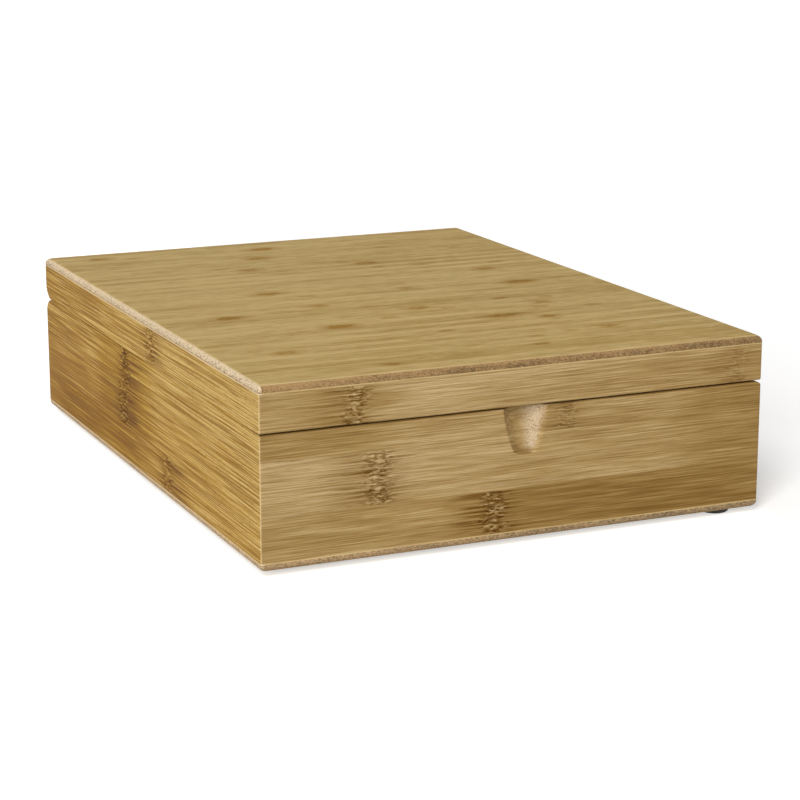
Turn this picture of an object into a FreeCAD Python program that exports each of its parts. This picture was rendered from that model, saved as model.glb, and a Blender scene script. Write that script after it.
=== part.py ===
"""Tea bag box: a bamboo chest with a hinged lid, twelve compartments and a finger scoop.

Frame: +X to the right, +Y to the rear, +Z up.  The origin is on the surface that the box
stands on, under the middle of its outline, so the front wall faces -Y.

The sizes are kept in the spreadsheet "sizes".  Every sketch corner, pad and placement is
bound to it by a formula, so the box follows when a cell changes.
"""
import FreeCAD, Part

import math
import operator
import os
from types import SimpleNamespace

import Sketcher

# Driving sizes: name, value in millimetres (degrees or a count where it says so), meaning.
SIZES = (
    ("box_width", 250, "outside width of the walls"),
    ("box_depth", 330, "outside depth of the walls, front to rear"),
    ("base_height", 61, "underside of the bottom panel to the rim of the base"),
    ("seam_gap", 0.6, "gap between the rim of the base and the closed lid"),
    ("lid_height", 21.4, "lower edge of the lid to the top of its panel"),
    ("wall", 12, "thickness of the bamboo walls"),
    ("corner_ease", 1, "radius of the four upright corners"),
    ("core", 3, "thickness of the fibreboard core of the two panels"),
    ("veneer", 0.5, "thickness of each bamboo veneer on the cores"),
    ("panel_round", 3, "radius of the round-over along the outer edge of the panels"),
    ("rim_ease", 0.5, "radius of the eased front and left edge of the rim"),
    ("rim_round", 3, "radius of the rounded right edge of the rim"),
    ("hinge_round", 10, "radius of the rear edges that meet at the hinges"),
    ("scoop_diameter", 28, "diameter of the cutter that makes the finger scoop"),
    ("scoop_depth", 5.8, "depth of the scoop at the rim"),
    ("scoop_length", 19, "travel of the cutter below the rim, along its axis"),
    ("scoop_lean", 13, "lean of the cutter from upright, in degrees"),
    ("scoop_corner", 2, "corner radius of the cutter"),
    ("scoop_offset", 2, "middle of the front wall to the middle of the scoop, to the right"),
    ("columns", 3, "compartments side by side, a count"),
    ("rows", 4, "compartments from front to rear, a count"),
    ("slat", 5, "thickness of the divider slats"),
    ("slat_height", 50, "height of the divider slats"),
    ("slat_ease", 0.7, "chamfer along the upper edges of the slats"),
    ("housing", 3, "depth of the wall housings that hold the slat ends"),
    ("slat_fit", 0.1, "clearance on each side of a slat, and at its end"),
    ("foot_diameter", 14, "diameter of the rubber feet"),
    ("foot_height", 2.5, "height of the rubber feet"),
    ("foot_inset_x", 17, "side face to the middle of a foot"),
    ("foot_inset_right", 11, "front or rear face to the middle of a right foot"),
    ("foot_inset_left", 20, "front or rear face to the middle of a left foot"),
    ("hinge_inset", 5, "rear face to the axis of the hinges"),
    ("hinge_end_inset", 45, "side face to the middle of a hinge"),
    ("hinge_length", 32, "length of a hinge along its axis"),
    ("barrel_diameter", 4, "outside diameter of the knuckles"),
    ("pin_diameter", 2, "diameter of the hinge pins"),
    ("pin_fit", 0.05, "clearance round a pin in its knuckles"),
    ("knuckle_gap", 0.3, "gap between neighbouring knuckles"),
    ("leaf_thickness", 1, "thickness of the hinge leaves"),
    ("leaf_width", 7, "hinge axis to the free edge of a leaf"),
    ("leaf_fit", 0.15, "clearance round a leaf in its mortise"),
    ("barrel_fit", 0.4, "clearance round the knuckles"),
    ("screw_pitch", 18, "distance between the screws of a leaf"),
    ("screw_length", 11, "length of the hinge screws"),
    ("screw_shank", 1.8, "diameter of the screw shanks"),
    ("screw_head", 3.2, "diameter of the countersunk screw heads"),
    ("screw_fit", 0.05, "clearance round a screw"),
)
KNUCKLES = 3  # two on the base leaf, one on the lid leaf between them
SCREWS_PER_LEAF = 2

OPERATORS = {"+": operator.add, "-": operator.sub, "*": operator.mul, "/": operator.truediv}


class Measure:
    """A length that knows its value, to place geometry, and its formula, to bind it."""

    def __init__(self, value, formula):
        self.value = value
        self.formula = formula

    def __add__(self, other):
        return combine(self, "+", other)

    def __radd__(self, other):
        return combine(other, "+", self)

    def __sub__(self, other):
        return combine(self, "-", other)

    def __rsub__(self, other):
        return combine(other, "-", self)

    def __mul__(self, other):
        return combine(self, "*", other)

    def __rmul__(self, other):
        return combine(other, "*", self)

    def __truediv__(self, other):
        return combine(self, "/", other)

    def __neg__(self):
        return combine(-1, "*", self)


def measure(number):
    """A plain number as a Measure; a Measure stays as it is."""
    return number if isinstance(number, Measure) else Measure(number, repr(number))


def combine(left, sign, right):
    left, right = measure(left), measure(right)
    value = OPERATORS[sign](left.value, right.value)
    return Measure(value, "({} {} {})".format(left.formula, sign, right.formula))


def root(square):
    return Measure(math.sqrt(square.value), "sqrt({})".format(square.formula))


def cosine(degrees):
    return Measure(math.cos(math.radians(degrees.value)), "cos({} * 1deg)".format(degrees.formula))


def fill_sheet(document):
    """Writes SIZES into the spreadsheet and returns them by name as Measures."""
    sheet = document.addObject("Spreadsheet::Sheet", "sizes")
    for row, (name, value, meaning) in enumerate(SIZES, 1):
        sheet.set("A{}".format(row), name)
        sheet.set("B{}".format(row), str(value))
        sheet.set("C{}".format(row), meaning)
        sheet.setAlias("B{}".format(row), name)
    document.recompute()
    return SimpleNamespace(**{
        name: Measure(float(sheet.get(name)), "sizes.{}".format(name)) for name, _, _ in SIZES
    })


doc = FreeCAD.newDocument("tea_bag_box")
size = fill_sheet(doc)

# Planes and lines that several pieces share.
half_width = size.box_width / 2
half_depth = size.box_depth / 2
panel = size.core + 2 * size.veneer
base_rim = size.foot_height + size.base_height
lid_edge = base_rim + size.seam_gap
lid_panel_bottom = lid_edge + size.lid_height - panel
floor_top = size.foot_height + panel
base_wall_height = base_rim - floor_top
lid_wall_height = lid_panel_bottom - lid_edge
hinge_x = half_width - size.hinge_end_inset
hinge_y = half_depth - size.hinge_inset
hinge_z = base_rim + size.seam_gap / 2
column_pitch = (size.box_width - 2 * size.wall + size.slat) / size.columns
row_pitch = (size.box_depth - 2 * size.wall + size.slat) / size.rows
knuckle_pitch = (size.hinge_length + size.knuckle_gap) / KNUCKLES
barrel = size.barrel_diameter / 2
leaf_root = barrel + size.barrel_fit
screw_line = (leaf_root + size.leaf_width) / 2
MARGIN = 2  # how far a cutting sketch reaches past the wood


def bind(item, name, value):
    item.setExpression(name, measure(value).formula)


def new_body(node, shift=(0, 0, 0)):
    """An empty body whose label names its file, placed by formulas."""
    body = doc.addObject("PartDesign::Body", node)
    body.Label = node
    for axis, value in zip("xyz", shift):
        bind(body, "Placement.Base.{}".format(axis), value)
    return body


def origin_plane(body, name):
    return next(item for item in body.Origin.OriginFeatures if item.Role == name + "_Plane")


def new_sketch(body, name, plane, level=0):
    """A sketch on one of the body's own origin planes, raised along the plane's normal."""
    sketch = body.newObject("Sketcher::SketchObject", "{}_{}".format(body.Name, name))
    sketch.AttachmentSupport = [(origin_plane(body, plane), "")]
    sketch.MapMode = "FlatFace"
    bind(sketch, "AttachmentOffset.Base.z", level)
    return sketch


def constrain(sketch, kind, name, place, value):
    """A dimension of a sketch that is bound to its formula."""
    index = sketch.addConstraint(Sketcher.Constraint(kind, *place, value.value))
    sketch.renameConstraint(index, name)
    sketch.setExpression("Constraints.{}".format(name), value.formula)


def arc_to(x, y, centre, radius, turn=1):
    """A path corner that is reached by an arc; turn is 1 counterclockwise, -1 clockwise."""
    return x, y, centre, radius, turn


def draw_path(sketch, corners):
    """Draws a closed path and ties each corner and radius to its formula."""
    corners = [(measure(x), measure(y), *arc) for x, y, *arc in corners]
    edges = []
    for start, end in zip(corners[-1:] + corners[:-1], corners):
        points = [FreeCAD.Vector(corner[0].value, corner[1].value) for corner in (start, end)]
        if len(end) == 2:
            index = sketch.addGeometry(Part.LineSegment(*points), False)
            edges.append((index, 1, 2))
            continue
        centre, radius, turn = end[2:]
        middle = FreeCAD.Vector(measure(centre[0]).value, measure(centre[1]).value)
        angles = [math.atan2(point.y - middle.y, point.x - middle.x) for point in points[::turn]]
        circle = Part.Circle(middle, FreeCAD.Vector(0, 0, 1), radius.value)
        index = sketch.addGeometry(Part.ArcOfCircle(circle, *angles), False)
        edges.append((index, 1, 2) if turn == 1 else (index, 2, 1))
        constrain(sketch, "Radius", "radius{}".format(index), (index,), radius)
    following_edges = edges[1:] + edges[:1]
    for corner, (index, _, end), (following, start, _) in zip(corners, edges, following_edges):
        sketch.addConstraint(Sketcher.Constraint("Coincident", index, end, following, start))
        constrain(sketch, "DistanceX", "x{}".format(index), (-1, 1, index, end), corner[0])
        constrain(sketch, "DistanceY", "y{}".format(index), (-1, 1, index, end), corner[1])


def draw_circle(sketch, x, y, radius):
    x, y = measure(x), measure(y)
    centre = FreeCAD.Vector(x.value, y.value)
    circle = Part.Circle(centre, FreeCAD.Vector(0, 0, 1), radius.value)
    index = sketch.addGeometry(circle, False)
    constrain(sketch, "Radius", "radius{}".format(index), (index,), radius)
    constrain(sketch, "DistanceX", "x{}".format(index), (-1, 1, index, 3), x)
    constrain(sketch, "DistanceY", "y{}".format(index), (-1, 1, index, 3), y)


def rectangle(x_low, x_high, y_low, y_high):
    return [(x_low, y_low), (x_high, y_low), (x_high, y_high), (x_low, y_high)]


def pad(body, sketch, length, side="One side"):
    feature = body.newObject("PartDesign::Pad", sketch.Name + "_pad")
    feature.Profile = sketch
    feature.SideType = side
    bind(feature, "Length", length)
    return feature


def pocket(body, sketch, length, upward=False):
    """Cuts the sketch to a depth, against its normal or (upward) along it."""
    feature = body.newObject("PartDesign::Pocket", sketch.Name + "_pocket")
    feature.Profile = sketch
    feature.Reversed = upward
    bind(feature, "Length", length)
    return feature


def pocket_through(body, sketch):
    """Cuts the sketch through the whole body, both ways from its plane."""
    feature = body.newObject("PartDesign::Pocket", sketch.Name + "_pocket")
    feature.Profile = sketch
    feature.SideType = "Symmetric"
    feature.Type = "ThroughAll"
    return feature


def turned(body, kind, sketch, axis="V_Axis"):
    """A Revolution or Groove of the sketch, all the way round one of its axes."""
    feature = body.newObject("PartDesign::" + kind, "{}_{}".format(sketch.Name, kind.lower()))
    feature.Profile = sketch
    feature.ReferenceAxis = (sketch, [axis])
    feature.Angle = 360
    return feature


def row_of(body, features, sketch, axis, length, count):
    """Repeats features along an axis of a sketch: count copies over a length."""
    if count.value < 2:
        return None
    pattern = body.newObject("PartDesign::LinearPattern", features[0].Name + "_row")
    pattern.Originals = features
    pattern.Direction = (sketch, [axis])
    bind(pattern, "Length", length)
    bind(pattern, "Occurrences", count)
    body.Tip = pattern
    return pattern


def mirrored(body, features):
    """Repeats features on the other side of the middle plane, from right to left."""
    mirror = body.newObject("PartDesign::Mirrored", features[0].Name + "_mirror")
    mirror.Originals = features
    mirror.MirrorPlane = (origin_plane(body, "YZ"), [""])
    body.Tip = mirror


# --- Walls -----------------------------------------------------------------------------

SIDES = ("front", "right", "rear", "left")


def around(side, along, outward):
    """Plan position of a point of a wall: its place along the wall and its distance outward."""
    return {
        "front": (along, -outward),
        "right": (outward, along),
        "rear": (-along, outward),
        "left": (-outward, -along),
    }[side]


def half_length_and_reach(side):
    """Half the outside length of a side of the box, and its distance from the middle."""
    return (half_width, half_depth) if side in ("front", "rear") else (half_depth, half_width)


def wall_blank(node, side, level, height):
    """A mitred board: its two ends are cut at 45 degrees and share an eased corner."""
    ends, reach = half_length_and_reach(side)
    ease = size.corner_ease
    cut_back = ease * (1 - math.sqrt(0.5))
    plan = [
        around(side, size.wall - ends, reach - size.wall),
        around(side, cut_back - ends, reach - cut_back),
        arc_to(*around(side, ease - ends, reach), around(side, ease - ends, reach - ease), ease),
        around(side, ends - ease, reach),
        arc_to(*around(side, ends - cut_back, reach - cut_back),
               around(side, ends - ease, reach - ease), ease),
        around(side, ends - size.wall, reach - size.wall),
    ]
    body = new_body(node, (0, 0, level))
    sketch = new_sketch(body, "plan", "XY")
    draw_path(sketch, plan)
    pad(body, sketch, height)
    return body


def round_edge(body, name, plane, face, rim, radius, outward, upward):
    """Rounds a long edge: cuts away what lies outside an arc tangent to its two faces.

    The sketch plane is YZ for an edge along X and XZ for one along Y.  The edge is where
    the upright face meets the rim; outward and upward are +1 or -1, away from the wood.
    """
    turn = -outward * upward
    sketch = new_sketch(body, name, plane)
    draw_path(sketch, [
        (face + outward * MARGIN, rim - upward * radius),
        (face + outward * MARGIN, rim + upward * MARGIN),
        (face - outward * radius, rim + upward * MARGIN),
        (face - outward * radius, rim),
        arc_to(face, rim - upward * radius,
               (face - outward * radius, rim - upward * radius), radius, turn),
    ])
    return pocket_through(body, sketch)


def cut_housings(body, side):
    """Stopped housings inside a wall, one for each divider slat that ends there."""
    across = side in ("front", "rear")
    reach = half_length_and_reach(side)[1]
    count = (size.columns if across else size.rows) - 1
    pitch = column_pitch if across else row_pitch
    first = -pitch * (count - 1) / 2
    reach_in = reach - size.wall
    half_slot = size.slat / 2 + size.slat_fit
    corners = rectangle(first - half_slot, first + half_slot,
                        reach_in - MARGIN, reach_in + size.housing)
    if side in ("rear", "left"):
        corners = [(-along, outward) for along, outward in corners]
    sketch = new_sketch(body, "housing", "XY")
    draw_path(sketch, [around(side, *corner) for corner in corners])
    slot = pocket(body, sketch, size.slat_height + size.slat_fit, upward=True)
    row_of(body, [slot], sketch, "H_Axis" if across else "V_Axis", pitch * (count - 1), count)


def cut_hinge_seats(body, rim, upward):
    """Mortises, barrel troughs and pilot holes for both hinges in the edge of a rear wall."""
    half_slot = size.hinge_length / 2 + size.leaf_fit
    axis_z = rim + upward * size.seam_gap / 2

    mortise = new_sketch(body, "mortise", "XY", rim)
    draw_path(mortise, rectangle(hinge_x - half_slot, hinge_x + half_slot,
                                 hinge_y - size.leaf_width - size.leaf_fit, hinge_y))
    leaf_seat = pocket(body, mortise, size.leaf_thickness, upward=upward < 0)

    trough = new_sketch(body, "trough", "YZ", hinge_x)
    draw_circle(trough, hinge_y, axis_z, leaf_root)
    barrel_seat = pocket(body, trough, 2 * half_slot)
    barrel_seat.SideType = "Symmetric"

    pilots = new_sketch(body, "pilots", "XY", rim)
    for index in range(SCREWS_PER_LEAF):
        draw_circle(pilots, hinge_x + size.screw_pitch * (index - (SCREWS_PER_LEAF - 1) / 2),
                    hinge_y - screw_line, size.screw_shank / 2 + size.screw_fit)
    pilot_holes = pocket(body, pilots, size.screw_length + size.screw_fit, upward=upward < 0)

    mirrored(body, [leaf_seat, barrel_seat, pilot_holes])


def cut_scoop(body, rim):
    """The finger scoop: a round cutter leans out of the front face and is plunged from the rim."""
    radius = size.scoop_diameter / 2
    axis_stand_off = radius / cosine(size.scoop_lean) - size.scoop_depth
    sketch = new_sketch(body, "scoop", "YZ", size.scoop_offset)
    bind(sketch, "AttachmentOffset.Base.x", -half_depth - axis_stand_off)
    bind(sketch, "AttachmentOffset.Base.y", rim)
    sketch.AttachmentOffset = FreeCAD.Placement(sketch.AttachmentOffset.Base,
                                                FreeCAD.Rotation(FreeCAD.Vector(0, 0, -1), 1))
    bind(sketch, "AttachmentOffset.Rotation.Angle", size.scoop_lean)
    corner = size.scoop_corner
    draw_path(sketch, [
        (0, radius),
        (0, -size.scoop_length),
        (radius - corner, -size.scoop_length),
        arc_to(radius, corner - size.scoop_length,
               (radius - corner, corner - size.scoop_length), corner),
        (radius, radius),
    ])
    turned(body, "Groove", sketch)


def build_walls():
    rim = base_wall_height
    for side in SIDES:
        body = wall_blank("base_{}_wall".format(side), side, floor_top, rim)
        cut_housings(body, side)
        if side != "left":
            round_edge(body, "right_rim", "XZ", half_width, rim, size.rim_round, 1, 1)
        if side == "front":
            round_edge(body, "front_rim", "YZ", -half_depth, rim, size.rim_ease, -1, 1)
            cut_scoop(body, rim)
        else:
            round_edge(body, "rear_rim", "YZ", half_depth, rim, size.hinge_round, 1, 1)
        if side == "left":
            round_edge(body, "left_rim", "XZ", -half_width, rim, size.rim_ease, -1, 1)
        if side == "rear":
            cut_hinge_seats(body, rim, 1)
        lid = wall_blank("lid_{}_wall".format(side), side, lid_edge, lid_wall_height)
        if side != "front":
            round_edge(lid, "rear_edge", "YZ", half_depth, measure(0), size.hinge_round, 1, -1)
        if side == "rear":
            cut_hinge_seats(lid, measure(0), -1)


# --- Panels ----------------------------------------------------------------------------


def panel_layer(node, level, low, high, rounded_up):
    """One layer of a veneered panel whose outer edge is rounded over as a whole.

    The panel lies from 0 to its full thickness above level; the layer keeps low to high.
    """
    body = new_body(node, (0, 0, level))
    ease = size.corner_ease
    corners = []
    for side in SIDES:
        ends, reach = half_length_and_reach(side)
        corners.append(around(side, ends - ease, reach))
        corners.append(arc_to(*around(side, ends, reach - ease),
                              around(side, ends - ease, reach - ease), ease))
    outline = new_sketch(body, "outline", "XY")
    draw_path(outline, corners)
    blank = pad(body, outline, panel)
    doc.recompute()

    edge_level = panel.value if rounded_up else 0
    rounded = [
        "Edge{}".format(index) for index, edge in enumerate(blank.Shape.Edges, 1)
        if all(abs(vertex.Z - edge_level) < 1e-6 for vertex in edge.Vertexes)
    ]
    round_over = body.newObject("PartDesign::Fillet", node + "_round_over")
    round_over.Base = (blank, rounded)
    bind(round_over, "Radius", size.panel_round)

    sheet_path = rectangle(-half_width - MARGIN, half_width + MARGIN,
                           -half_depth - MARGIN, half_depth + MARGIN)
    if high is not panel:
        above = new_sketch(body, "above", "XY", high)
        draw_path(above, sheet_path)
        pocket(body, above, panel - high, upward=True)
    if low.value > 0:
        below = new_sketch(body, "below", "XY", low)
        draw_path(below, sheet_path)
        pocket(body, below, low)


def build_panels():
    nothing, lower, upper = measure(0), size.veneer, size.veneer + size.core
    for level, rounded_up, names in (
        (size.foot_height, False, ("bottom_outer_veneer", "bottom_core", "bottom_inner_veneer")),
        (lid_panel_bottom, True, ("lid_inner_veneer", "lid_core", "lid_top_veneer")),
    ):
        for node, low, high in zip(names, (nothing, lower, upper), (lower, upper, panel)):
            panel_layer(node, level, low, high, rounded_up)


# --- Dividers --------------------------------------------------------------------------


def divider(node, plane, length, crossings, pitch, open_top, shift):
    """A slat of the grid, halved at each crossing so that the two sets slide into each other."""
    body = new_body(node, shift)
    end = length / 2 - size.slat_fit
    profile = new_sketch(body, "face", plane)
    draw_path(profile, rectangle(-end, end, 0, size.slat_height))
    blank = pad(body, profile, size.slat, "Symmetric")
    doc.recompute()

    top_edges = [
        "Edge{}".format(index) for index, edge in enumerate(blank.Shape.Edges, 1)
        if all(abs(vertex.Z - size.slat_height.value) < 1e-6 for vertex in edge.Vertexes)
        and edge.Length > 2 * size.slat.value
    ]
    eased = body.newObject("PartDesign::Chamfer", node + "_eased_top")
    eased.Base = (blank, top_edges)
    bind(eased, "Size", size.slat_ease)

    first = -pitch * (crossings - 1) / 2
    half_notch = size.slat / 2 + size.slat_fit
    middle = size.slat_height / 2
    low, high = measure(-MARGIN), middle + size.slat_fit
    if open_top:
        low, high = middle, size.slat_height + MARGIN
    notch_sketch = new_sketch(body, "notch", plane)
    draw_path(notch_sketch, rectangle(first - half_notch, first + half_notch, low, high))
    notch = pocket_through(body, notch_sketch)
    row_of(body, [notch], notch_sketch, "H_Axis", pitch * (crossings - 1), crossings)


def build_dividers():
    long_count, cross_count = size.columns - 1, size.rows - 1
    inside_width = size.box_width - 2 * size.wall
    inside_depth = size.box_depth - 2 * size.wall
    for index in range(int(long_count.value)):
        place = column_pitch * (index - (long_count - 1) / 2)
        divider("divider_long_{}".format(index + 1), "YZ", inside_depth + 2 * size.housing,
                cross_count, row_pitch, True, (place, 0, floor_top))
    for index in range(int(cross_count.value)):
        place = row_pitch * (index - (cross_count - 1) / 2)
        divider("divider_cross_{}".format(index + 1), "XZ", inside_width + 2 * size.housing,
                long_count, column_pitch, False, (0, place, floor_top))


# --- Feet ------------------------------------------------------------------------------


def build_feet():
    for side, side_sign, inset in (("left", -1, size.foot_inset_left),
                                   ("right", 1, size.foot_inset_right)):
        for end, end_sign in (("front", -1), ("rear", 1)):
            body = new_body("foot_{}_{}".format(end, side), (
                side_sign * (half_width - size.foot_inset_x),
                end_sign * (half_depth - inset), 0))
            sketch = new_sketch(body, "outline", "XY")
            draw_circle(sketch, 0, 0, size.foot_diameter / 2)
            pad(body, sketch, size.foot_height)


# --- Hinges ----------------------------------------------------------------------------


def hinge_leaf(node, middle, upward, first_knuckle, count):
    """A butt hinge leaf: a plate with countersunk holes and every second knuckle of the barrel.

    The body's origin is on the hinge axis.  The plate reaches forward, towards -Y, and lies
    above the axis on the lid leaf (upward 1) and below it on the base leaf (upward -1).
    """
    body = new_body(node, (middle, hinge_y, hinge_z))
    inner = size.seam_gap / 2
    outer = inner + size.leaf_thickness
    half_length = size.hinge_length / 2
    knuckle = knuckle_pitch - size.knuckle_gap

    plate = new_sketch(body, "plate", "XY", inner if upward > 0 else -outer)
    draw_path(plate, rectangle(-half_length, half_length, -size.leaf_width, -leaf_root))
    pad(body, plate, size.leaf_thickness)

    start = knuckle_pitch * first_knuckle - half_length
    side = new_sketch(body, "knuckle", "YZ", start)
    inner_tangent = -root(barrel * barrel - inner * inner)
    outer_tangent = -root(barrel * barrel - outer * outer)
    draw_path(side, [
        (-leaf_root, upward * outer),
        (-leaf_root, upward * inner),
        (inner_tangent, upward * inner),
        arc_to(outer_tangent, upward * outer, (0, 0), barrel, upward),
    ])
    tube = pad(body, side, knuckle)
    row_of(body, [tube], side, "N_Axis", 2 * knuckle_pitch * (count - 1), measure(count))

    bore = new_sketch(body, "bore", "YZ")
    draw_circle(bore, 0, 0, size.pin_diameter / 2 + size.pin_fit)
    pocket_through(body, bore)

    hole = new_sketch(body, "hole", "YZ")
    head, shank = size.screw_head / 2 + size.screw_fit, size.screw_shank / 2 + size.screw_fit
    bind(hole, "AttachmentOffset.Base.x", -screw_line)
    draw_path(hole, [
        (0, 0),
        (head, 0),
        (head, upward * inner),
        (shank, upward * (inner + head - shank)),
        (shank, upward * (outer + MARGIN)),
        (0, upward * (outer + MARGIN)),
    ])
    bind(hole, "AttachmentOffset.Base.z", -size.screw_pitch * (SCREWS_PER_LEAF - 1) / 2)
    countersink = turned(body, "Groove", hole)
    row_of(body, [countersink], hole, "N_Axis", size.screw_pitch * (SCREWS_PER_LEAF - 1),
           measure(SCREWS_PER_LEAF))


def hinge_pin(node, middle):
    body = new_body(node, (middle, hinge_y, hinge_z))
    sketch = new_sketch(body, "profile", "XY")
    end = size.hinge_length / 2
    draw_path(sketch, rectangle(-end, end, 0, size.pin_diameter / 2))
    turned(body, "Revolution", sketch, "H_Axis")


def hinge_screws(node, upward):
    """The countersunk screws of both hinges on one side of the seam."""
    inner = size.seam_gap / 2
    head, shank = size.screw_head / 2, size.screw_shank / 2
    body = new_body(node, (0, hinge_y - screw_line, hinge_z))
    body.AllowCompound = True
    sketch = new_sketch(body, "profile", "YZ",
                        -hinge_x - size.screw_pitch * (SCREWS_PER_LEAF - 1) / 2)
    draw_path(sketch, [
        (0, upward * inner),
        (head, upward * inner),
        (shank, upward * (inner + head - shank)),
        (shank, upward * (inner + size.screw_length)),
        (0, upward * (inner + size.screw_length)),
    ])
    screw = turned(body, "Revolution", sketch)
    both_hinges = row_of(body, [screw], sketch, "N_Axis",
                         size.screw_pitch * (SCREWS_PER_LEAF - 1), measure(SCREWS_PER_LEAF))
    both_hinges.Direction2 = (sketch, ["N_Axis"])
    bind(both_hinges, "Length2", 2 * hinge_x)
    both_hinges.Occurrences2 = 2


def build_hinges():
    for side, sign in (("left", -1), ("right", 1)):
        middle = sign * hinge_x
        hinge_leaf("hinge_{}_base_leaf".format(side), middle, -1, 0, (KNUCKLES + 1) // 2)
        hinge_leaf("hinge_{}_lid_leaf".format(side), middle, 1, 1, KNUCKLES // 2)
        hinge_pin("hinge_{}_pin".format(side), middle)
    hinge_screws("base_hinge_screws", -1)
    hinge_screws("lid_hinge_screws", 1)


# --- Document --------------------------------------------------------------------------


def check_and_export():
    doc.recompute()
    for item in doc.Objects:
        if "Invalid" in item.State or "Error" in item.State:
            raise RuntimeError("{} failed: {}".format(item.Name, item.State))
    os.makedirs("parts", exist_ok=True)
    for item in doc.Objects:
        if item.TypeId != "PartDesign::Body":
            continue
        shape = item.Shape
        if shape.isNull() or not shape.isValid():
            raise RuntimeError("{} has no valid shape".format(item.Label))
        print("{:24} {:3} solids {:12.1f} mm3".format(item.Label, len(shape.Solids), shape.Volume))
        shape.exportStep("parts/{}.step".format(item.Label))


build_panels()
build_walls()
build_dividers()
build_feet()
build_hinges()
check_and_export()
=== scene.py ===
"""Tea bag box in bamboo: the visible surfaces, finishes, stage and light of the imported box.

The frame is in metres: +X to the right, +Y to the rear, +Z up, on the surface the box
stands on.  Each operator builds one piece or one group of like pieces.
"""
import math
from functools import partial

import bmesh
import bpy
import numpy as np
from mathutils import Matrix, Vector


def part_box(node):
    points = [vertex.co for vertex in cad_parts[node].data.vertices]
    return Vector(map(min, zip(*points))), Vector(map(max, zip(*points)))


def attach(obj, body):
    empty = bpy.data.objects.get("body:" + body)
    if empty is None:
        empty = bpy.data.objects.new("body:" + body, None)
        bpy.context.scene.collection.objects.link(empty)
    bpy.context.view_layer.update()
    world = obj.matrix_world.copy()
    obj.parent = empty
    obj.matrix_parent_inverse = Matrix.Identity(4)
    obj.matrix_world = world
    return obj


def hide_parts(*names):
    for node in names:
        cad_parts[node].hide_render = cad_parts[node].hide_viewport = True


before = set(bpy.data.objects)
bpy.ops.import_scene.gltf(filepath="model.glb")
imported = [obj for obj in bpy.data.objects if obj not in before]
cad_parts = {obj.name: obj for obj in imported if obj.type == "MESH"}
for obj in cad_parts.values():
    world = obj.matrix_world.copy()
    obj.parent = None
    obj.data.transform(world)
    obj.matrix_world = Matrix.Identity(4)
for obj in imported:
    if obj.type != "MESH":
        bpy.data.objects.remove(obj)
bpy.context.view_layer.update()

MM = 0.001
SIDES = ("front", "right", "rear", "left")

bl_info = {
    "name": "Tea Bag Box",
    "version": (1, 0, 0),
    "blender": (4, 5, 0),
    "location": "3D View > Sidebar > Tea Box",
    "description": "Builds a bamboo tea bag box with a hinged lid on its packed frame",
    "category": "Object",
}


def level(node, corner):
    """Height of a CAD node's lowest (0) or highest (1) corner."""
    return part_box(node)[corner].z


HALF_WIDTH, HALF_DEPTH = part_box("lid_core")[1].xy
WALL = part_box("base_front_wall")[1].y + HALF_DEPTH
RIM = level("base_front_wall", 1)
FLOOR_TOP = level("bottom_inner_veneer", 1)
LID_EDGE = level("lid_front_wall", 0)
LEFT_FACE, RIGHT_FACE = -HALF_WIDTH / MM, HALF_WIDTH / MM  # millimetres, as in the materials
FRONT_FACE, REAR_FACE = -HALF_DEPTH / MM, HALF_DEPTH / MM
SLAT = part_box("divider_long_1")[1].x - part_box("divider_long_1")[0].x
SLAT_FIT = 0.1 * MM
LEAF_FIT = 0.1 * MM
MERGED_WITHIN = 2e-7  # metres; points of a mesh that are closer than this are one point


# --- Sizes and colours ---


def length(name, description, default):
    return bpy.props.FloatProperty(name=name, description=description, default=default,
                                   min=0.0, unit="LENGTH", precision=5)


def colour(name, description, default):
    return bpy.props.FloatVectorProperty(name=name, description=description, default=default,
                                         size=3, min=0.0, max=1.0, subtype="COLOR")


class BoxSizes(bpy.types.PropertyGroup):
    """Sizes of the edges and small shapes of the box."""

    corner_ease: length("Corner ease", "Radius of the upright corners", 0.001)
    rim_ease: length("Rim ease", "Radius of the front and left edge of the rim", 0.0009)
    rim_round: length("Rim round", "Radius of the right edge of the rim", 0.003)
    rim_corner: length("Rim corner", "Radius of the rim at the upright corners", 0.0016)
    hinge_round: length("Hinge round", "Radius of the rear edges beside the seam", 0.010)
    arris: length("Arris", "Radius of the sanded inner edges of the walls", 0.0004)
    panel_round: length("Panel round", "Radius of the round-over of the panels", 0.003)
    scoop_diameter: length("Scoop diameter", "Diameter of the scoop's cutter", 0.028)
    scoop_depth: length("Scoop depth", "Depth of the scoop at the rim", 0.0058)
    scoop_height: length("Scoop height", "Height of the scoop on the front face", 0.0215)
    scoop_corner: length("Scoop corner", "Corner radius of the scoop's cutter", 0.002)
    scoop_offset: length("Scoop offset", "Middle of the front to the middle of the scoop", 0.002)
    scoop_lean: bpy.props.FloatProperty(
        name="Scoop lean", description="Lean of the scoop's cutter from upright",
        default=math.radians(13), subtype="ANGLE")
    seam_close: length("Seam close", "How far the lid's left wall hangs lower", 0.0005)
    leaf_thickness: length("Leaf thickness", "Thickness of the hinge leaves", 0.001)
    screw_shank: length("Screw shank", "Diameter of the screw shanks", 0.0018)
    recess_depth: length("Recess depth", "Depth of the cross in the screw heads", 0.0006)
    slat_ease: length("Slat ease", "Bevel along the edges of the divider slats", 0.0005)
    foot_ease: length("Foot ease", "Radius of the lower edge of the feet", 0.0012)


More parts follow.
